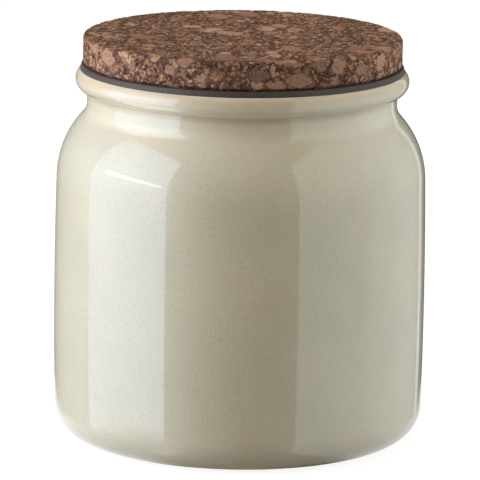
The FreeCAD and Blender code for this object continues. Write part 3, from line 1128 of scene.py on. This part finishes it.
@dataclass(frozen=True)
class Studio:
    """The pale table, the lights round it and the camera.

    Sizes are in metres, but the camera's place and lens are in mm and its angles in degrees.
    """

    panels: tuple[Panel, ...] = (
        Panel("key_left", -88.0, 0.9, 1.10, -0.45, 0.95, 6.2, Reach.COLOUR, tint="#E2EAFF"),
        Panel("fill_right", 100.0, 1.1, 1.10, -0.45, 0.95, 3.7, Reach.COLOUR, tint="#E2EBFF"),
        Panel("top_light", 0.0, 0.0, 1.30, 0.85, 2.15, 0.3, Reach.COLOUR, lean=90.0),
        Panel("front_light", 0.0, 0.55, 0.90, 0.45, 0.85, 0.97, Reach.COLOUR, lean=40.0),
        Panel("window_left", -75.2, 1.0, 1.165, -0.45, 1.135, 2.0, Reach.GLOSS,
              0.02, 0.22, 4.3, 0.02, tint="#DAEAFF"),
        Panel("tube_left", -71.9, 0.98, 0.84, 0.275, 0.375, 10.0, Reach.GLOSS,
              0.049, 0.050, tint="#DFECFF"),
        Panel("window_low", -80.0, 1.1, 1.70, -2.20, -0.30, 4.0, Reach.GLOSS, 0.60, 0.65),
        Panel("board_right", 92.0, 1.0, 2.98, -1.70, 1.60, 1.6, Reach.GLOSS,
              0.03, 0.30, 0.24, 0.03, tint="#F4FFFD"),
        Panel("edge_right", 147.4, 0.95, 0.12, -1.20, 1.00, 0.9, Reach.GLOSS, 0.02, 0.02),
        Panel("flag_right", 163.4, 0.95, 0.40, -1.20, 1.20, 0.0, Reach.GLOSS, 0.02, 0.03),
        Panel("board_behind", -140.0, 1.0, 1.30, -1.00, 1.20, 0.1, Reach.GLOSS, 0.3, 0.4),
        Panel("board_front", 0.0, 1.6, 3.20, 0.30, 3.20, 0.20, Reach.GLOSS, 0.5, 0.6,
              tint="#FFE9E2"),
        Panel("board_above", 0.0, 0.0, 1.50, 0.75, 2.25, 0.35, Reach.GLOSS, 0.3, 0.4,
              lean=90.0, tint="#CFE4FF"),
        Panel("table_left", -90.0, 0.050, 0.17, -0.035, 0.035, 1.0, Reach.GLOSS,
              0.02, 0.03, lean=-90.0),
        Panel("table_right", 90.0, 0.055, 0.17, -0.030, 0.030, 0.8, Reach.GLOSS,
              0.02, 0.03, lean=-90.0),
    )
    table: str = "#8E8E8E"
    table_size: float = 12.0
    table_glow: float = 0.85
    gloom: float = 0.25
    gloom_tint: str = "#FFEAB8"
    camera_place: tuple[float, float, float] = (0.0, -1498.8, 382.6)
    camera_dip: float = 12.018
    camera_roll: float = 0.87
    camera_lens: float = 354.8
    camera_sensor: float = 36.0

    def build(self) -> None:
        """Set the world, the table, the lights and the camera."""
        self.set_world()
        self.lay_table()
        for panel in self.panels:
            panel.build()
        self.place_camera()
        LOG.info("studio: %d panels, a table and a camera", len(self.panels))

    def set_world(self) -> None:
        """Make the world white to the camera, and dim to the gloss and the colour."""
        world = bpy.data.worlds.new("studio")
        bpy.context.scene.world = world
        world.use_nodes = True
        tree = world.node_tree
        tree.nodes.clear()
        seen = add_node(tree, "ShaderNodeLightPath").outputs["Is Camera Ray"]
        strength = add_node(tree, "ShaderNodeMix", {0: seen, 2: self.gloom, 3: 1.0})
        tint = add_node(tree, "ShaderNodeMix", {
            0: seen, 6: srgb(self.gloom_tint), 7: srgb("#FFFFFF"),
        }, data_type="RGBA")
        light = add_node(tree, "ShaderNodeBackground", {
            "Color": tint.outputs[2], "Strength": strength.outputs[0],
        })
        add_node(tree, "ShaderNodeOutputWorld", {0: light.outputs[0]})

    def lay_table(self) -> None:
        """Lay a pale matt table, lit up to white where the jar's shadow isn't."""
        material, tree = new_material("table_matt_laminate")
        seen = add_node(tree, "ShaderNodeLightPath").outputs["Is Camera Ray"]
        matt = add_node(tree, "ShaderNodeBsdfDiffuse", {"Color": srgb(self.table)})
        glow = add_node(tree, "ShaderNodeMath", {
            0: seen, 1: self.table_glow,
        }, operation="MULTIPLY")
        white = add_node(tree, "ShaderNodeEmission", {"Strength": glow.outputs[0]})
        both = add_node(tree, "ShaderNodeAddShader", {0: matt.outputs[0], 1: white.outputs[0]})
        add_node(tree, "ShaderNodeOutputMaterial", {0: both.outputs[0]})
        mesh = bmesh.new()
        bmesh.ops.create_grid(mesh, x_segments=1, y_segments=1, size=self.table_size / 2)
        data = bpy.data.meshes.new("table")
        mesh.to_mesh(data)
        mesh.free()
        data.materials.append(material)
        table = bpy.data.objects.new("table", data)
        bpy.context.scene.collection.objects.link(table)
        # The panels hang past the table's edge, so the table stays out of gloss and shadow rays.
        table.visible_glossy = False
        table.visible_shadow = False

    def place_camera(self) -> None:
        """Set the camera in front of the jar, looking down at it, with a slight roll."""
        data = bpy.data.cameras.new("camera")
        data.lens = self.camera_lens
        data.sensor_width = self.camera_sensor
        camera = bpy.data.objects.new("camera", data)
        tilt = Matrix.Rotation(math.radians(90.0 - self.camera_dip), 4, "X")
        roll = Matrix.Rotation(math.radians(self.camera_roll), 4, "Z")
        place = Matrix.Translation(Vector(self.camera_place) * MM)
        camera.matrix_world = place @ tilt @ roll
        bpy.context.scene.collection.objects.link(camera)
        bpy.context.scene.camera = camera


def main() -> None:
    """Build the studio and the three pieces."""
    logging.basicConfig(level=logging.INFO, format="%(name)s: %(message)s")
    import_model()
    bpy.context.scene.view_settings.view_transform = "Standard"
    Studio().build()
    jar = StonewareJar()
    fit = PlugFit(jar)
    pieces = (
        jar.build(ReducedGlaze().build(), BareStoneware().build()),
        CorkLid(fit).build(AgglomeratedCork(fit.disc_low).build()),
        SiliconeSeal(fit).build(MouldedSilicone().build()),
    )
    for piece in pieces:
        LOG.info("%s: %d faces", piece.name, len(piece.data.polygons))


if __name__ == "__main__":
    main()
